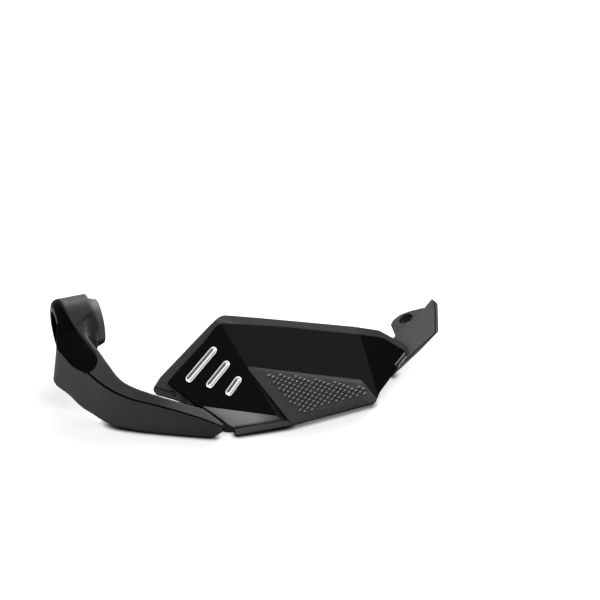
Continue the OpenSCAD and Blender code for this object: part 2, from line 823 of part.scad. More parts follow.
module inner_bracket() {
    color("#55565a") on_shield() difference() {
        union() {
            intersection() {
                prism(rounded(foot_pts), -60, 20);
                difference() {
                    below(facet_right, foot_front);
                    below(facet_right, foot_front + bracket_t);
                }
            }
            difference() {
                intersection() {
                    prism(rounded(blade_pts), -60, 20);
                    below(blade);
                }
                below(blade, bracket_t);
            }
            intersection() {
                on_lug() prism(rounded(lug_pts), -lug_t, 0);
                below(blade);
            }
        }
        for (p = bracket_bolt_at) on_plane(facet_right, p, 30) cylinder(d = bolt_d + 0.5, h = 60);
        on_lug() translate([lug_hole_at[0], lug_hole_at[1], 0]) {
            translate([0, 0, -30]) cylinder(d = lug_hole_d + 2 * bush_wall + 0.1, h = 60);
            translate([0, 0, -lug_bore_depth]) cylinder(d = lug_bore_d, h = 20);
        }
    }
}

module lug_bush() {
    sleeve = lug_t - lug_bore_depth;
    color("#b9bcc1") on_shield() on_lug() translate([lug_hole_at[0], lug_hole_at[1], -lug_bore_depth + seat])
        difference() {
            union() {
                translate([0, 0, -sleeve]) cylinder(d = lug_hole_d + 2 * bush_wall, h = sleeve + 0.5);
                cylinder(d = lug_bore_d - 0.5, h = 1);
            }
            translate([0, 0, -sleeve - 5]) cylinder(d = lug_hole_d, h = sleeve + 10);
        }
}

module bracket_bolts() {
    color("#8c8f94") on_shield() for (p = bracket_bolt_at)
        on_plane(facet_right, p, bracket_washer_back + seat) bolt(bracket_washer_back - frame_front - 1);
}

module bracket_washers() {
    color("#b9bcc1") on_shield() for (p = bracket_bolt_at)
        on_plane(facet_right, p, bracket_washer_back) washer();
}

module bracket_inserts() {
    color("#b08d45") on_shield() for (p = bracket_bolt_at)
        on_plane(facet_right, p, foot_front - seat) insert();
}

bar_end_arm();
arm_inlay();
inlay_screws();
backing_frame();
shield_skin();
knurled_pad();
pad_clips();
accent_long();
accent_middle();
accent_short();
accent_clips();
inner_bracket();
lug_bush();
skin_screws();
arm_bolts();
arm_washers();
arm_inserts();
bracket_bolts();
bracket_washers();
bracket_inserts();
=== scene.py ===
"""Motorcycle hand guard lying on a pale table under soft studio light"""
import math
import bpy
import bmesh
from mathutils import Matrix, Vector
from mathutils.bvhtree import BVHTree
from mathutils.kdtree import KDTree


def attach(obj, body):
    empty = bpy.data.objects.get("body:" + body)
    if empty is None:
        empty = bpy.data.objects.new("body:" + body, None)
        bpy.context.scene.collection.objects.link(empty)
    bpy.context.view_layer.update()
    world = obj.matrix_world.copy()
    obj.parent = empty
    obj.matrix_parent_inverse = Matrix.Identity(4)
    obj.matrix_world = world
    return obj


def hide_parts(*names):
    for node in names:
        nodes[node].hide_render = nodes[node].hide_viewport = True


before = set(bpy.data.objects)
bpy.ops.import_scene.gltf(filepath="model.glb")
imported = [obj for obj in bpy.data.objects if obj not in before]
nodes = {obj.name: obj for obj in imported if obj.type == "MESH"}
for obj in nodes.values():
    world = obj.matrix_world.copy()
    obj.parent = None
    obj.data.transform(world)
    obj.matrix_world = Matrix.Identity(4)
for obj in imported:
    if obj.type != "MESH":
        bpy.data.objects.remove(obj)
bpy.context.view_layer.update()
scene = bpy.context.scene


def mm(*values):
    """Millimetres to metres"""
    return Vector(values) / 1000


# Directions on the guard
INBOARD, TO_RIDER, UP = (1, 0, 0), (0, 1, 0), (0, 0, 1)
CHIN_FACING = (-0.29, -0.84, 0.455)
CHIN_INBOARD = (0.674, 0.158, 0.722)
CHIN_UP = (0.014, 0.466, 0.869)
FACET_FACING = Vector((-0.1862, -0.6826, 0.7067)).normalized()
ACCENT_RUN = Vector((0.7948, 0.3219, 0.5144))
CHANNEL_ACROSS = FACET_FACING.cross(ACCENT_RUN).normalized()
PAD_FACING = Vector((0, -0.54694, 0.83716))
# Side of the knurl's pyramids that gets a painted highlight
PAINTED_LIGHT_SIDE = Vector((0.78, 0.52, 0.34)).normalized()
BLADE_FACING = (-0.1, -0.64, 0.762)
ARM_TOP_FACING = (0.05, -0.32, 0.94)
ARM_FACE_FACING = (-0.47, -0.86, 0.17)

# Sizes in metres
TABLE_TOP = -0.043
SAME_PLACE = 0.000004
BORE_RADIUS = 0.0141
CHIN_CORNER = mm(87.3, -105.3, -25.7)


def highest(node, direction):
    """How far a node reaches in a direction"""
    return max(direction.dot(v.co) for v in nodes[node].data.vertices)


def add_piece(data, name, node=None):
    """Puts a new piece in the scene, and hides the node that it stands for"""
    piece = bpy.data.objects.new(name, data)
    scene.collection.objects.link(piece)
    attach(piece, "root")
    if node:
        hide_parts(node)
    return piece


def mesh_piece(bm, name, mat, node=None):
    """Makes a piece of one finish out of a bmesh"""
    mesh = bpy.data.meshes.new(name)
    bm.to_mesh(mesh)
    bm.free()
    mesh.materials.append(mat)
    return add_piece(mesh, name, node)


# Edges and shading of the CAD nodes
def smooth_group(limit=180):
    """Geometry nodes that shade faces smooth and keep edges over the limit sharp"""
    group = bpy.data.node_groups.new("soft_shading", "GeometryNodeTree")
    group.interface.new_socket("Geometry", in_out="INPUT", socket_type="NodeSocketGeometry")
    group.interface.new_socket("Geometry", in_out="OUTPUT", socket_type="NodeSocketGeometry")
    put, link = group.nodes.new, group.links.new
    start, end = put("NodeGroupInput"), put("NodeGroupOutput")
    faces, edges = put("GeometryNodeSetShadeSmooth"), put("GeometryNodeSetShadeSmooth")
    angle, less = put("GeometryNodeInputMeshEdgeAngle"), put("FunctionNodeCompare")
    faces.domain, edges.domain = "FACE", "EDGE"
    less.data_type, less.operation = "FLOAT", "LESS_THAN"
    less.inputs[1].default_value = math.radians(limit)
    link(start.outputs[0], faces.inputs["Geometry"])
    link(faces.outputs[0], edges.inputs["Geometry"])
    link(angle.outputs["Unsigned Angle"], less.inputs[0])
    link(less.outputs[0], edges.inputs["Shade Smooth"])
    link(edges.outputs[0], end.inputs[0])
    return group


SOFT = smooth_group()
TURNED = smooth_group(32)


def round_edges(name, width, angle=8, segments=3, turned=False):
    """Small radius on every edge, in mm; flat faces stay flat, turned ones stay round"""
    piece = nodes[name]
    weld = piece.modifiers.new("weld", "WELD")
    weld.merge_threshold = SAME_PLACE
    join = piece.modifiers.new("join", "DECIMATE")
    join.decimate_type = "DISSOLVE"
    join.angle_limit = math.radians(1)
    edge = piece.modifiers.new("edge", "BEVEL")
    edge.width = width / 1000
    edge.segments = segments
    edge.limit_method = "ANGLE"
    edge.angle_limit = math.radians(angle)
    edge.use_clamp_overlap = True
    shade = piece.modifiers.new("shade", "NODES")
    shade.node_group = TURNED if turned else SOFT
    if not turned:
        even = piece.modifiers.new("even", "WEIGHTED_NORMAL")
        even.weight = 100
        even.keep_sharp = False


# Building blocks of the finishes
def finish(name, colour, rough, metal=0.0, spec=0.5, grain=0.0, grain_mm=0.6, mottle=0.1,
           cloud_mm=30, rough_vary=0.06):
    """Moulded or metal finish: colour clouds, fine grain in the height and uneven gloss"""
    mat = bpy.data.materials.new(name)
    mat.use_nodes = True
    tree = mat.node_tree
    put, link = tree.nodes.new, tree.links.new
    body = tree.nodes["Principled BSDF"]
    body.inputs["Metallic"].default_value = metal
    body.inputs["Specular IOR Level"].default_value = spec
    where = place_on(tree)
    cloud = put("ShaderNodeTexNoise")
    cloud.inputs["Scale"].default_value = 1000 / cloud_mm
    cloud.inputs["Detail"].default_value = 6
    link(where, cloud.inputs["Vector"])
    tone = put("ShaderNodeValToRGB")
    low, high = tone.color_ramp.elements
    low.position, high.position = 0.3, 0.7
    low.color = [c * (1 - mottle) for c in colour] + [1]
    high.color = [c * (1 + mottle) for c in colour] + [1]
    link(cloud.outputs["Fac"], tone.inputs["Fac"])
    link(tone.outputs["Color"], body.inputs["Base Color"])
    dust = put("ShaderNodeTexNoise")
    dust.inputs["Scale"].default_value = 1000 / (cloud_mm * 0.2)
    dust.inputs["Detail"].default_value = 4
    link(where, dust.inputs["Vector"])
    gloss = put("ShaderNodeMapRange")
    gloss.inputs["To Min"].default_value = rough - rough_vary
    gloss.inputs["To Max"].default_value = rough + rough_vary
    link(dust.outputs["Fac"], gloss.inputs["Value"])
    link(gloss.outputs["Result"], body.inputs["Roughness"])
    if grain:
        fine = put("ShaderNodeTexNoise")
        fine.inputs["Scale"].default_value = 1000 / grain_mm
        fine.inputs["Detail"].default_value = 3
        link(where, fine.inputs["Vector"])
        bump = put("ShaderNodeBump")
        bump.inputs["Strength"].default_value = 1.0
        bump.inputs["Distance"].default_value = grain / 1000
        link(fine.outputs["Fac"], bump.inputs["Height"])
        link(bump.outputs["Normal"], body.inputs["Normal"])
    return mat


def place_on(tree):
    """Place of a point on the guard"""
    return tree.nodes.new("ShaderNodeTexCoord").outputs["Object"]


def facing_of(tree):
    """Direction that the surface looks in"""
    return tree.nodes.new("ShaderNodeNewGeometry").outputs["Normal"]


def ramp(tree, value, low, high, start=0.0, end=1.0):
    """Straight ramp of a value between two limits"""
    step = tree.nodes.new("ShaderNodeMapRange")
    step.inputs["From Min"].default_value = low
    step.inputs["From Max"].default_value = high
    step.inputs["To Min"].default_value = start
    step.inputs["To Max"].default_value = end
    tree.links.new(value, step.inputs["Value"])
    return step.outputs["Result"]


def along(tree, source, direction):
    """Length of a vector along a direction"""
    part = tree.nodes.new("ShaderNodeVectorMath")
    part.operation = "DOT_PRODUCT"
    part.inputs[1].default_value = direction
    tree.links.new(source, part.inputs[0])
    return part.outputs["Value"]


def where_all(tree, *masks):
    """Mask that is on only where all the masks are"""
    result = masks[0]
    for mask in masks[1:]:
        part = tree.nodes.new("ShaderNodeMath")
        part.operation = "MULTIPLY"
        tree.links.new(result, part.inputs[0])
        tree.links.new(mask, part.inputs[1])
        result = part.outputs[0]
    return result


def tint(mat, mask, colour):
    """Lays a second colour over the first where the mask is on"""
    tree = mat.node_tree
    body = tree.nodes["Principled BSDF"]
    tone = body.inputs["Base Color"].links[0].from_socket
    mix = tree.nodes.new("ShaderNodeMix")
    mix.data_type = "RGBA"
    tree.links.new(mask, mix.inputs["Factor"])
    tree.links.new(tone, mix.inputs["A"])
    mix.inputs["B"].default_value = (*colour, 1)
    tree.links.new(mix.outputs["Result"], body.inputs["Base Color"])


# Painted light and shade on the pieces
def chin_painted_reflection(mat):
    """Painted reflection on the shell's chin, lighter there, fading towards the pad and ending at
    its outboard edge
    """
    tree = mat.node_tree
    where = place_on(tree)
    on_chin = ramp(tree, along(tree, facing_of(tree), CHIN_FACING), 0.96, 0.99)
    edge = Vector(CHIN_INBOARD).dot(CHIN_CORNER)
    inside = ramp(tree, along(tree, where, CHIN_INBOARD), edge, edge + 0.0006)
    fade = ramp(tree, along(tree, where, INBOARD), 0.122, 0.142, 1.0, 0.06)
    above_fold = ramp(tree, along(tree, where, CHIN_UP), -0.0891, -0.0868)
    tint(mat, where_all(tree, on_chin, inside, fade, above_fold), (0.24, 0.24, 0.244))


def pad_painted_shade_and_highlight(mat):
    """Painted shade in the valleys and painted highlights on the peaks of the pad's own pyramids"""
    top = highest("knurled_pad", PAD_FACING)
    tree = mat.node_tree
    height = along(tree, place_on(tree), PAD_FACING)
    sloped = ramp(tree, along(tree, facing_of(tree), PAD_FACING), 0.985, 0.95)
    above_border = ramp(tree, height, top - 0.00105, top - 0.00095)
    low = ramp(tree, height, top - 0.0008, top - 0.0003, 1.0, 0.0)
    high = ramp(tree, height, top - 0.0005, top - 0.0001)
    tint(mat, where_all(tree, sloped, above_border, low), (0.002, 0.002, 0.002))
    tint(mat, where_all(tree, above_border, high), (0.16, 0.16, 0.163))


def knurl_painted_light(mat):
    """Pyramids with painted shade at their feet, a painted highlight on one side and on the tip"""
    top = highest("knurled_pad", PAD_FACING)
    tree = mat.node_tree
    height = along(tree, place_on(tree), PAD_FACING)
    foot = ramp(tree, height, top - 0.00095, top - 0.0004, 1.0, 0.0)
    lit_side = ramp(tree, along(tree, facing_of(tree), PAINTED_LIGHT_SIDE), -0.02, 0.12)
    above_foot = ramp(tree, height, top - 0.0008, top - 0.0006)
    tip = ramp(tree, height, top - 0.0003, top - 0.0001)
    tint(mat, foot, (0.003, 0.003, 0.003))
    tint(mat, where_all(tree, lit_side, above_foot), (0.17, 0.17, 0.173))
    tint(mat, tip, (0.16, 0.16, 0.163))


def arm_painted_light(mat):
    """Painted light: lighter outboard corner, painted highlights on the top bevel and collar;
    painted shade on the arm's face towards its tip
    """
    tree = mat.node_tree
    where, facing = place_on(tree), facing_of(tree)
    across = along(tree, where, INBOARD)
    back = along(tree, where, TO_RIDER)
    outboard = ramp(tree, across, -0.012, 0.055, 1.0, 0.0)
    ahead_of_ring = ramp(tree, back, -0.032, -0.042)
    towards_tip = ramp(tree, across, 0.018, 0.075)
    on_top = ramp(tree, along(tree, facing, ARM_TOP_FACING), 0.93, 0.985)
    on_face = ramp(tree, along(tree, facing, ARM_FACE_FACING), 0.9, 0.98)
    past_ring = ramp(tree, across, 0.0295, 0.032)
    round_bar = ramp(tree, back, -0.034, -0.03)
    tint(mat, where_all(tree, outboard, ahead_of_ring), (0.032, 0.032, 0.034))
    tint(mat, where_all(tree, towards_tip, on_top), (0.05, 0.05, 0.052))
    tint(mat, where_all(tree, towards_tip, on_face), (0.006, 0.006, 0.0065))
    tint(mat, where_all(tree, past_ring, round_bar), (0.07, 0.07, 0.073))


def bracket_painted_shade(mat):
    """Blade's flat face light; painted shade on its edges and the lug, which face other ways"""
    tree = mat.node_tree
    off_blade = ramp(tree, along(tree, facing_of(tree), BLADE_FACING), 0.985, 0.9)
    tint(mat, off_blade, (0.035, 0.035, 0.036))


def channel_painted_reflection(mat):
    """Painted reflections in the accents' channel, darker where it turns down from its rim"""
    top = highest("accent_long", FACET_FACING)
    tree = mat.node_tree
    deep = ramp(tree, along(tree, place_on(tree), FACET_FACING), top - 0.0002, top - 0.0004)
    lean = along(tree, facing_of(tree), CHANNEL_ACROSS)
    upper_side = ramp(tree, lean, 0.05, -0.3)
    upper_wall = ramp(tree, lean, -0.6, -0.85)
    lower_wall = ramp(tree, lean, 0.6, 0.85)
    tint(mat, where_all(tree, deep, upper_side), (0.42, 0.42, 0.425))
    tint(mat, where_all(tree, deep, upper_wall), (0.14, 0.14, 0.14))
    tint(mat, where_all(tree, deep, lower_wall), (0.2, 0.2, 0.2))


def shade_below(mat):
    """Dull black where a surface turns under, as no light gets there"""
    tree = mat.node_tree
    rough = tree.nodes["Principled BSDF"].inputs["Roughness"]
    under = ramp(tree, along(tree, facing_of(tree), UP), -0.05, -0.4)
    tint(mat, under, (0.0006, 0.0006, 0.0006))
    dull = tree.nodes.new("ShaderNodeMath")
    dull.operation = "MAXIMUM"
    tree.links.new(rough.links[0].from_socket, dull.inputs[0])
    tree.links.new(under, dull.inputs[1])
    tree.links.new(dull.outputs[0], rough)


def paint(mat, *names):
    """Puts a finish on nodes"""
    for name in names:
        data = nodes[name].data
        if data.materials:
            for i in range(len(data.materials)):
                data.materials[i] = mat
        else:
            data.materials.append(mat)


# Plastics
arm_plastic = finish("arm_plastic", (0.013, 0.013, 0.014), 0.42, spec=0.3, grain=0.02, grain_mm=0.5)
inlay_plastic = finish("inlay_plastic", (0.0016, 0.0016, 0.0017), 0.42, spec=0.02,
                       grain=0.008, grain_mm=0.5)
rim_plastic = finish("rim_plastic", (0.024, 0.024, 0.025), 0.48, spec=0.32, grain=0.02, grain_mm=0.5)
shell_plastic = finish("shell_plastic", (0.0018, 0.0018, 0.002), 0.3, spec=0.05,
                       grain=0.004, grain_mm=0.5)
# Lighter grey on the rolled lip is a painted reflection on the dark plastic
lip_painted_reflection = finish("lip_painted_reflection", (0.04, 0.04, 0.042), 0.42, spec=0.25, grain=0.01, grain_mm=0.5)
pad_plastic = finish("pad_plastic", (0.032, 0.032, 0.033), 0.5, spec=0.2, grain=0.02, grain_mm=0.4)
knurl_plastic = finish("knurl_plastic", (0.032, 0.032, 0.033), 0.45, spec=0.25,
                       grain=0.01, grain_mm=0.4)
bracket_plastic = finish("bracket_plastic", (0.08, 0.08, 0.083), 0.5, spec=0.2,
                         grain=0.02, grain_mm=0.5)

# Painted shade for the bore, the grooves and the blade's edge; painted highlights on the notch's
# edges
painted_shade_black = finish("painted_shade_black", (0.0008, 0.0008, 0.0008), 0.8, spec=0.01)
painted_shade_edge = finish("painted_shade_edge", (0.012, 0.012, 0.012), 0.7, spec=0.1)
painted_highlight_edge = finish("painted_highlight_edge", (0.4, 0.4, 0.4), 0.4, spec=0.4)

# Metals
polished = finish("polished_metal", (0.96, 0.96, 0.97), 0.14, metal=0.94, mottle=0.02,
                  rough_vary=0.03)
dark_steel = finish("blackened_steel", (0.025, 0.025, 0.025), 0.5, metal=1.0, mottle=0.15,
                    cloud_mm=5)
steel = finish("zinc_steel", (0.52, 0.52, 0.5), 0.34, metal=1.0, mottle=0.1, cloud_mm=6)
brass = finish("brass", (0.62, 0.45, 0.2), 0.35, metal=1.0, mottle=0.1, cloud_mm=6)

chin_painted_reflection(shell_plastic)
pad_painted_shade_and_highlight(pad_plastic)
knurl_painted_light(knurl_plastic)
arm_painted_light(arm_plastic)
bracket_painted_shade(bracket_plastic)
channel_painted_reflection(polished)
for plastic in (arm_plastic, rim_plastic, lip_painted_reflection, shell_plastic, bracket_plastic):
    shade_below(plastic)

# Finish and edges of each node
SCREWS_AND_CLIPS = ("inlay_screws", "skin_screws", "arm_bolts", "arm_washers", "bracket_bolts",
                    "bracket_washers", "pad_clips", "accent_clips")
INSERTS = ("arm_inserts", "bracket_inserts")
paint(rim_plastic, "backing_frame")
paint(shell_plastic, "shield_skin")
paint(pad_plastic, "knurled_pad")
paint(bracket_plastic, "inner_bracket")
paint(dark_steel, "lug_bush")
paint(steel, *SCREWS_AND_CLIPS)
paint(brass, *INSERTS)

round_edges("shield_skin", 0.35)
round_edges("backing_frame", 0.8)
round_edges("knurled_pad", 0.14)
round_edges("inner_bracket", 1.1)
for fastener in ("lug_bush", *SCREWS_AND_CLIPS, *INSERTS):
    round_edges(fastener, 0.25, angle=30, segments=2, turned=True)


# Arm and inlay: the same mouldings with their facets blended and soft edges
def smooth_spot(bm, spot, rounds):
    """Smooths some points of a surface a number of times"""
    for _ in range(rounds):
        bmesh.ops.smooth_vert(bm, verts=spot, factor=0.5,
                              use_axis_x=True, use_axis_y=True, use_axis_z=True)


def settle_faces(bm, edge_angle, keep, rounds):
    """Evens out the wide faces and leaves a strip of keep mm along the edges alone"""
    limit = math.radians(edge_angle)
    edges = [v for v in bm.verts if any(e.calc_face_angle(0) > limit for e in v.link_edges)]
    tree = KDTree(len(edges))
    for i, vert in enumerate(edges):
        tree.insert(vert.co, i)
    tree.balance()
    smooth_spot(bm, [v for v in bm.verts if tree.find(v.co)[2] > keep / 1000], rounds)


def pull(bm, centre, reach, shift):
    """Moves a rounded patch of the surface, most at its middle"""
    for vert in bm.verts:
        far = (vert.co - centre).length / reach
        if far < 1:
            vert.co += shift * (1 - far * far) ** 2


def blend(bm, centre, reach, end, rounds):
    """Smooths the hollow beside the ring, outboard of end and clear of the bore"""
    wall = BORE_RADIUS + 0.0011
    smooth_spot(bm, [v for v in bm.verts if (v.co - centre).length < reach and v.co.x < end
                     and math.hypot(v.co.y, v.co.z) > wall], rounds)


def blended_copy(node, name, voxel, rounds):
    """One smooth skin over a node's shape"""
    mesh = nodes[node].data.copy()
    bm = bmesh.new()
    bm.from_mesh(mesh)
    bmesh.ops.remove_doubles(bm, verts=bm.verts, dist=SAME_PLACE)
    bm.to_mesh(mesh)
    bm.free()
    draft = bpy.data.objects.new(name + "_draft", mesh)
    scene.collection.objects.link(draft)
    skin = draft.modifiers.new("skin", "REMESH")
    skin.mode = "VOXEL"
    skin.voxel_size = voxel / 1000
    even = draft.modifiers.new("even", "SMOOTH")
    even.factor = 0.5
    even.iterations = rounds
    graph = bpy.context.evaluated_depsgraph_get()
    done = bpy.data.meshes.new_from_object(draft.evaluated_get(graph))
    bpy.data.objects.remove(draft)
    return done


def soft_moulding(node, name, mat, voxel, rounds, edge_angle, keep, settle,
                  pulls=(), blends=()):
    """Moulding that stands for a node; the walls of the bar's bore get black painted shade"""
    mesh = blended_copy(node, name, voxel, rounds)
    mesh.materials.clear()
    mesh.materials.append(mat)
    mesh.materials.append(painted_shade_black)
    bm = bmesh.new()
    bm.from_mesh(mesh)
    settle_faces(bm, edge_angle, keep, settle)
    for centre, reach, shift in pulls:
        pull(bm, mm(*centre), reach / 1000, mm(*shift))
    for centre, reach, end, times in blends:
        blend(bm, mm(*centre), reach / 1000, end / 1000, times)
    for face in bm.faces:
        face.smooth = True
        middle = face.calc_center_median()
        out = Vector((0, middle.y, middle.z))
        looks_in = face.normal.dot(out.normalized()) < -0.6
        face.material_index = int(out.length < BORE_RADIUS + 0.0012 and looks_in)
    bm.to_mesh(mesh)
    bm.free()
    return add_piece(mesh, name, node)


# Fuller outboard corner and a slimmer underside; then the hollow and the neck beside the ring
ARM_PULLS = [((-8.5, -42.5, -24.5), 13, (0.3, 0.75, 1.25)),
             ((4, -60, -31), 12, (-0.2, -0.45, -0.8))]
ARM_BLENDS = [((27, -25, 8), 12, 37, 120),
              ((18, -34, 2), 13, 40, 30)]
arm = soft_moulding("bar_end_arm", "soft_arm", arm_plastic, voxel=0.7, rounds=6,
                    edge_angle=9, keep=2.2, settle=30, pulls=ARM_PULLS, blends=ARM_BLENDS)
soft_moulding("arm_inlay", "soft_inlay", inlay_plastic, voxel=0.45, rounds=6,
              edge_angle=12, keep=1.4, settle=80)

# Polished accents: a rounded rim round a hollow channel; profile as inset and height in mm
ACCENT_R = 0.0029
ACCENT_TRIM = 0.0016
ACCENT_WALL = 0.00295
ACCENT_SUNK = 0.0034
ACCENT_SIDES = 64
ACCENT_PROFILE = [(0.0, 0.75), (0.06, 0.93), (0.18, 1.08), (0.36, 1.17), (0.56, 1.2), (0.76, 1.17),
                  (0.94, 1.08), (1.06, 0.93), (1.14, 0.72), (1.26, 0.46), (1.46, 0.2),
                  (1.75, -0.02), (2.1, -0.18), (2.4, -0.28), (2.65, -0.33), (2.82, -0.35)]


def accent(node, name):
    """Capsule with a rim and a channel, laid where the node's own top face is"""
    spots = [v.co for v in nodes[node].data.vertices]
    top = highest(node, FACET_FACING)
    rim = [p for p in spots if FACET_FACING.dot(p) > top - 0.00005]
    a = max(rim, key=lambda p: (p - rim[0]).length)
    b = max(rim, key=lambda p: (p - a).length)
    axis, length = (b - a).normalized(), (b - a).length - ACCENT_TRIM
    turn = Matrix((axis, FACET_FACING.cross(axis), FACET_FACING)).transposed()
    bm = bmesh.new()
    bmesh.ops.create_circle(bm, cap_ends=True, segments=ACCENT_SIDES, radius=ACCENT_R,
                            matrix=Matrix.Rotation(math.pi / ACCENT_SIDES, 4, "Z"))
    for vert in bm.verts:
        vert.co.x += math.copysign(length / 2 - ACCENT_R, vert.co.x)
    cap = list(bm.faces)
    if cap[0].normal.z < 0:
        bmesh.ops.reverse_faces(bm, faces=cap)
    walls = bmesh.ops.extrude_face_region(bm, geom=cap, use_keep_orig=True)
    cap = [f for f in walls["geom"] if isinstance(f, bmesh.types.BMFace)]
    bmesh.ops.translate(bm, verts=cap[0].verts, vec=(0, 0, ACCENT_WALL))
    inset, height = ACCENT_PROFILE[0]
    for step, rise in ACCENT_PROFILE[1:]:
        bmesh.ops.inset_region(bm, faces=cap, thickness=(step - inset) / 1000, depth=0,
                               use_even_offset=True)
        bmesh.ops.translate(bm, verts=cap[0].verts, vec=(0, 0, (rise - height) / 1000))
        inset, height = step, rise
    bmesh.ops.recalc_face_normals(bm, faces=bm.faces)
    bmesh.ops.translate(bm, verts=bm.verts, vec=(0, 0, -ACCENT_SUNK))
    bmesh.ops.rotate(bm, verts=bm.verts, cent=(0, 0, 0), matrix=turn)
    bmesh.ops.translate(bm, verts=bm.verts, vec=(a + b) / 2)
    for face in bm.faces:
        face.smooth = len(face.verts) == 4
    mesh_piece(bm, name, polished, node)


for size in ("long", "middle", "short"):
    accent("accent_" + size, "polished_" + size)

# Places, in mm, that the fine lines run through
CREASE = [(9.7, -61.5, -3), (19.7, -78, -8.4), (33.6, -88, -15), (49.6, -96.5, -19.2),
          (69, -109, -23), (86.5, -121.5, -27.2), (95, -126.6, -31.4)]
TAB_STEP = [(60.1, -82.2, -16.4), (63.5, -83.9, -17.6), (66.1, -85.5, -18.1),
            (68.1, -86.8, -18.1), (69.8, -87.5, -19), (69.8, -88.5, -20.4), (68.7, -89.6, -21.7)]
NOTCH_INNER = [(246.6, -99.4, -28.8), (250.4, -96.7, -27.9), (254, -94.2, -27),
               (258.5, -91, -25.8)]
NOTCH_OUTER = [(249.1, -100.7, -30.7), (250.8, -98.9, -29.9), (255, -96.1, -28.9),
               (259.4, -93.1, -27.9)]
BLADE_EDGE = [(295.9, -61.8, -3), (295.5, -66.1, -6.6), (293.2, -72.1, -12),
              (290.3, -79.4, -18.5), (288.8, -81.1, -20.2), (282, -83.8, -23.3),
              (273.9, -86.5, -26.6), (265.9, -89.3, -30), (258.8, -91.7, -32.9)]
LINE_STEPS = 12


def between(a, b, c, d, t):
    """Point on a smooth curve from b to c, which a and d bend"""
    return 0.5 * (2 * b + (c - a) * t + (2 * a - 5 * b + 4 * c - d) * t * t
                  + (3 * b - a - 3 * c + d) * t ** 3)


def laid_line(name, carrier, places, radius, sink, mat, taper=0.0):
    """Thin round line, of a radius and a sink in mm, that follows a carrier's surface"""
    tree = BVHTree.FromObject(carrier, bpy.context.evaluated_depsgraph_get())
    points = [mm(*p) for p in places]
    points = [points[0], *points, points[-1]]
    path = []
    for i in range(len(points) - 3):
        for k in range(LINE_STEPS):
            on = between(*points[i:i + 4], k / LINE_STEPS)
            place, normal, _, _ = tree.find_nearest(on)
            path.append(place - normal * sink / 1000)
    curve = bpy.data.curves.new(name, "CURVE")
    curve.dimensions = "3D"
    curve.bevel_depth = radius / 1000
    curve.bevel_resolution = 2
    curve.use_fill_caps = True
    curve.materials.append(mat)
    line = curve.splines.new("POLY")
    line.points.add(len(path) - 1)
    for i, (point, place) in enumerate(zip(line.points, path)):
        point.co = (*place, 1)
        point.radius = 1 - taper * i / len(path)
    add_piece(curve, name)


# Black lines of painted shade in the arm's crease groove and along the tab's step
laid_line("crease_painted_shade", arm, CREASE, 0.88, 0.12, painted_shade_black, taper=0.48)
laid_line("tab_step_painted_shade", nodes["backing_frame"], TAB_STEP, 0.33, 0.05, painted_shade_black)
# Painted highlights along the notch's two edges
laid_line("notch_inner_painted_highlight", nodes["backing_frame"], NOTCH_INNER, 0.42, -0.1, painted_highlight_edge)
laid_line("notch_outer_painted_highlight", nodes["backing_frame"], NOTCH_OUTER, 0.36, -0.1, painted_highlight_edge)
# Painted shade along the blade's lower edge
laid_line("blade_edge_painted_shade", nodes["inner_bracket"], BLADE_EDGE, 0.5, 0.1, painted_shade_edge)

# Pad's pyramids: foot as a share of the lattice's step, rise in metres
KNURL_FOOT = 1.02
KNURL_RISE = 0.00102
KNURL_TIP = 0.08


def lattice():
    """Peaks of the pad's lattice, and the two diagonals of its cell"""
    top = highest("knurled_pad", PAD_FACING)
    peaks = []
    for p in (v.co for v in nodes["knurled_pad"].data.vertices):
        if PAD_FACING.dot(p) > top - 0.00003 and all((p - q).length > 0.0005 for q in peaks):
            peaks.append(p.copy())
    middle = sum(peaks, Vector()) / len(peaks)
    first = min(peaks, key=lambda p: (p - middle).length)
    steps = sorted((p - first for p in peaks if p is not first), key=lambda d: d.length)
    a = steps[0]
    b = next(d for d in steps if abs(d.normalized().dot(a.normalized())) < 0.8)
    return peaks, (a + b) / 2, (a - b) / 2


def knurl():
    """Pyramids whose feet touch, one on every peak, cut off flush with the pad's front"""
    peaks, long, short = lattice()
    front = min(v.co.y for v in nodes["knurled_pad"].data.vertices)
    shape = Matrix((long * KNURL_FOOT, short * KNURL_FOOT, PAD_FACING * KNURL_RISE))
    bm = bmesh.new()
    for peak in peaks:
        spot = shape.transposed().to_4x4()
        spot.translation = peak - PAD_FACING * KNURL_RISE / 2
        bmesh.ops.create_cone(bm, cap_ends=True, segments=4, radius1=1, radius2=KNURL_TIP,
                              depth=1, matrix=spot)
    for vert in bm.verts:
        vert.co.y = max(vert.co.y, front)
    bmesh.ops.recalc_face_normals(bm, faces=bm.faces)
    mesh_piece(bm, "knurl", knurl_plastic)


knurl()

LIP_START = mm(105.1, -124.5, -40.3)
LIP_END = mm(148.5, -130.1, -38.0)
LIP_R = 0.00278
LIP_EDGE = 0.0006


def rolled_lip():
    """Lip rolled along the shell's lower edge, from its open outboard end to the pad"""
    run = LIP_END - LIP_START
    bm = bmesh.new()
    bmesh.ops.create_cone(bm, cap_ends=True, segments=48, radius1=LIP_R, radius2=LIP_R,
                          depth=run.length)
    rims = [e for e in bm.edges if e.calc_face_angle(0) > 1.2]
    bmesh.ops.bevel(bm, geom=rims, offset=LIP_EDGE, offset_type="OFFSET", segments=3, profile=0.5,
                    affect="EDGES", material=-1)
    turn = run.to_track_quat("Z", "Y").to_matrix()
    bmesh.ops.rotate(bm, verts=bm.verts, cent=(0, 0, 0), matrix=turn)
    bmesh.ops.translate(bm, verts=bm.verts, vec=(LIP_START + LIP_END) / 2)
    for face in bm.faces:
        face.smooth = face.calc_area() > 2e-8 and len(face.verts) == 4
    mesh_piece(bm, "rolled_lip", lip_painted_reflection)


rolled_lip()

# Table, lights and camera
PAINTED_SHADOW_REACH = 0.0045
WHITE_LIFT = 0.42


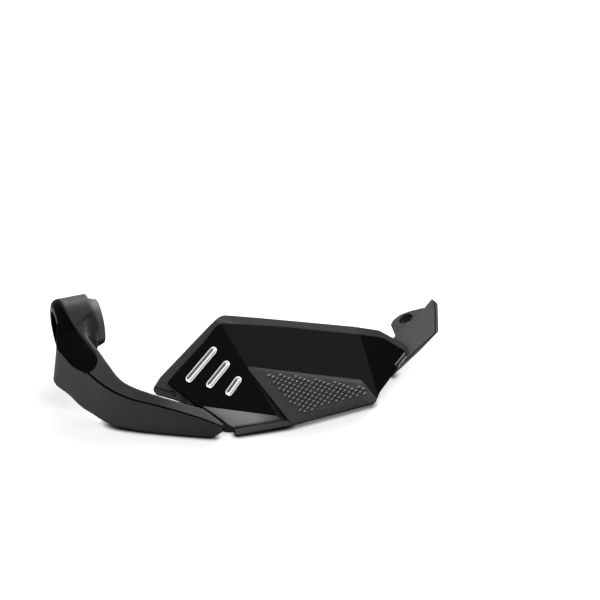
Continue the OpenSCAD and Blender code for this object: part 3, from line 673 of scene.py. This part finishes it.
def table_finish():
    """White table, lifted a little for the camera, with a painted shadow where the guard almost
    touches it
    """
    mat = bpy.data.materials.new("table_white")
    mat.use_nodes = True
    tree = mat.node_tree
    put, link = tree.nodes.new, tree.links.new
    body = tree.nodes["Principled BSDF"]
    body.inputs["Roughness"].default_value = 0.9
    body.inputs["Specular IOR Level"].default_value = 0.0
    body.inputs["Emission Color"].default_value = (1, 1, 1, 1)
    seen = put("ShaderNodeLightPath").outputs["Is Camera Ray"]
    lift = ramp(tree, seen, 0.0, 1.0, 0.0, WHITE_LIFT)
    # Painted contact shadow: the table's colour and its lift go dark where the guard is near
    near = put("ShaderNodeAmbientOcclusion")
    near.inputs["Distance"].default_value = PAINTED_SHADOW_REACH
    near.samples = 8
    outside_painted_shadow = ramp(tree, near.outputs["AO"], 0.42, 0.92)
    link(where_all(tree, lift, outside_painted_shadow), body.inputs["Emission Strength"])
    tone = put("ShaderNodeMix")
    tone.data_type = "RGBA"
    tone.inputs["A"].default_value = (0.03, 0.03, 0.03, 1)
    tone.inputs["B"].default_value = (0.86, 0.86, 0.86, 1)
    link(outside_painted_shadow, tone.inputs["Factor"])
    link(tone.outputs["Result"], body.inputs["Base Color"])
    return mat


def table():
    """Flat white table that the guard lies on"""
    bm = bmesh.new()
    bmesh.ops.create_grid(bm, x_segments=1, y_segments=1, size=6)
    bmesh.ops.translate(bm, verts=bm.verts, vec=(0, 0, TABLE_TOP))
    mesh = bpy.data.meshes.new("table_top")
    bm.to_mesh(mesh)
    bm.free()
    mesh.materials.append(table_finish())
    top = bpy.data.objects.new("table_top", mesh)
    scene.collection.objects.link(top)


GUARD_MIDDLE = (0.14, -0.08, 0)
SOFTBOXES = [("overhead", (0.9, 0.9, 0.95), (1.6, 0.9), 23),
             ("front", (-0.36, -1.45, 0.42), (0.5, 0.3), 3),
             ("left", (-1.25, -0.6, 0.5), (0.6, 0.6), 4),
             ("right_top", (0.7, -0.62, 1.05), (0.6, 0.6), 4)]
DIM_SIDE = Vector((0.75, -0.6, -0.2)).normalized()


def softbox(name, place, size, power):
    """Soft lamp that looks at the guard's middle"""
    light = bpy.data.lights.new(name, "AREA")
    light.shape = "RECTANGLE"
    light.size, light.size_y = size
    light.energy = power
    lamp = bpy.data.objects.new(name, light)
    lamp.location = place
    aim = Vector(GUARD_MIDDLE) - Vector(place)
    lamp.rotation_euler = aim.to_track_quat("-Z", "Y").to_euler()
    scene.collection.objects.link(lamp)


def studio():
    """Pale room: even light, and in reflections white that dims to the right and below"""
    world = bpy.data.worlds.new("studio")
    scene.world = world
    world.use_nodes = True
    tree = world.node_tree
    sky = tree.nodes["Background"]
    sky.inputs["Color"].default_value = (1, 1, 1, 1)
    shine = tree.nodes.new("ShaderNodeLightPath").outputs["Is Glossy Ray"]
    way = tree.nodes.new("ShaderNodeTexCoord").outputs["Generated"]
    dome = ramp(tree, along(tree, way, DIM_SIDE), 0.1, 0.62, 1.0, 0.15)
    pick = tree.nodes.new("ShaderNodeMix")
    pick.inputs["A"].default_value = 0.42
    tree.links.new(shine, pick.inputs["Factor"])
    tree.links.new(dome, pick.inputs["B"])
    tree.links.new(pick.outputs["Result"], sky.inputs["Strength"])
    for name, place, size, power in SOFTBOXES:
        softbox(name, place, size, power)


def camera():
    """Camera at the angle of the photograph"""
    lens = bpy.data.cameras.new("camera")
    lens.lens = 95.49
    lens.sensor_width = 36
    view = bpy.data.objects.new("camera", lens)
    place, aim = mm(-187.5, -1041.2, 679.5), mm(168.1, -95.9, 46.6)
    view.location = place
    view.rotation_euler = (aim - place).to_track_quat("-Z", "Y").to_euler()
    scene.collection.objects.link(view)
    scene.camera = view


table()
studio()
camera()
scene.view_settings.view_transform = "Standard"
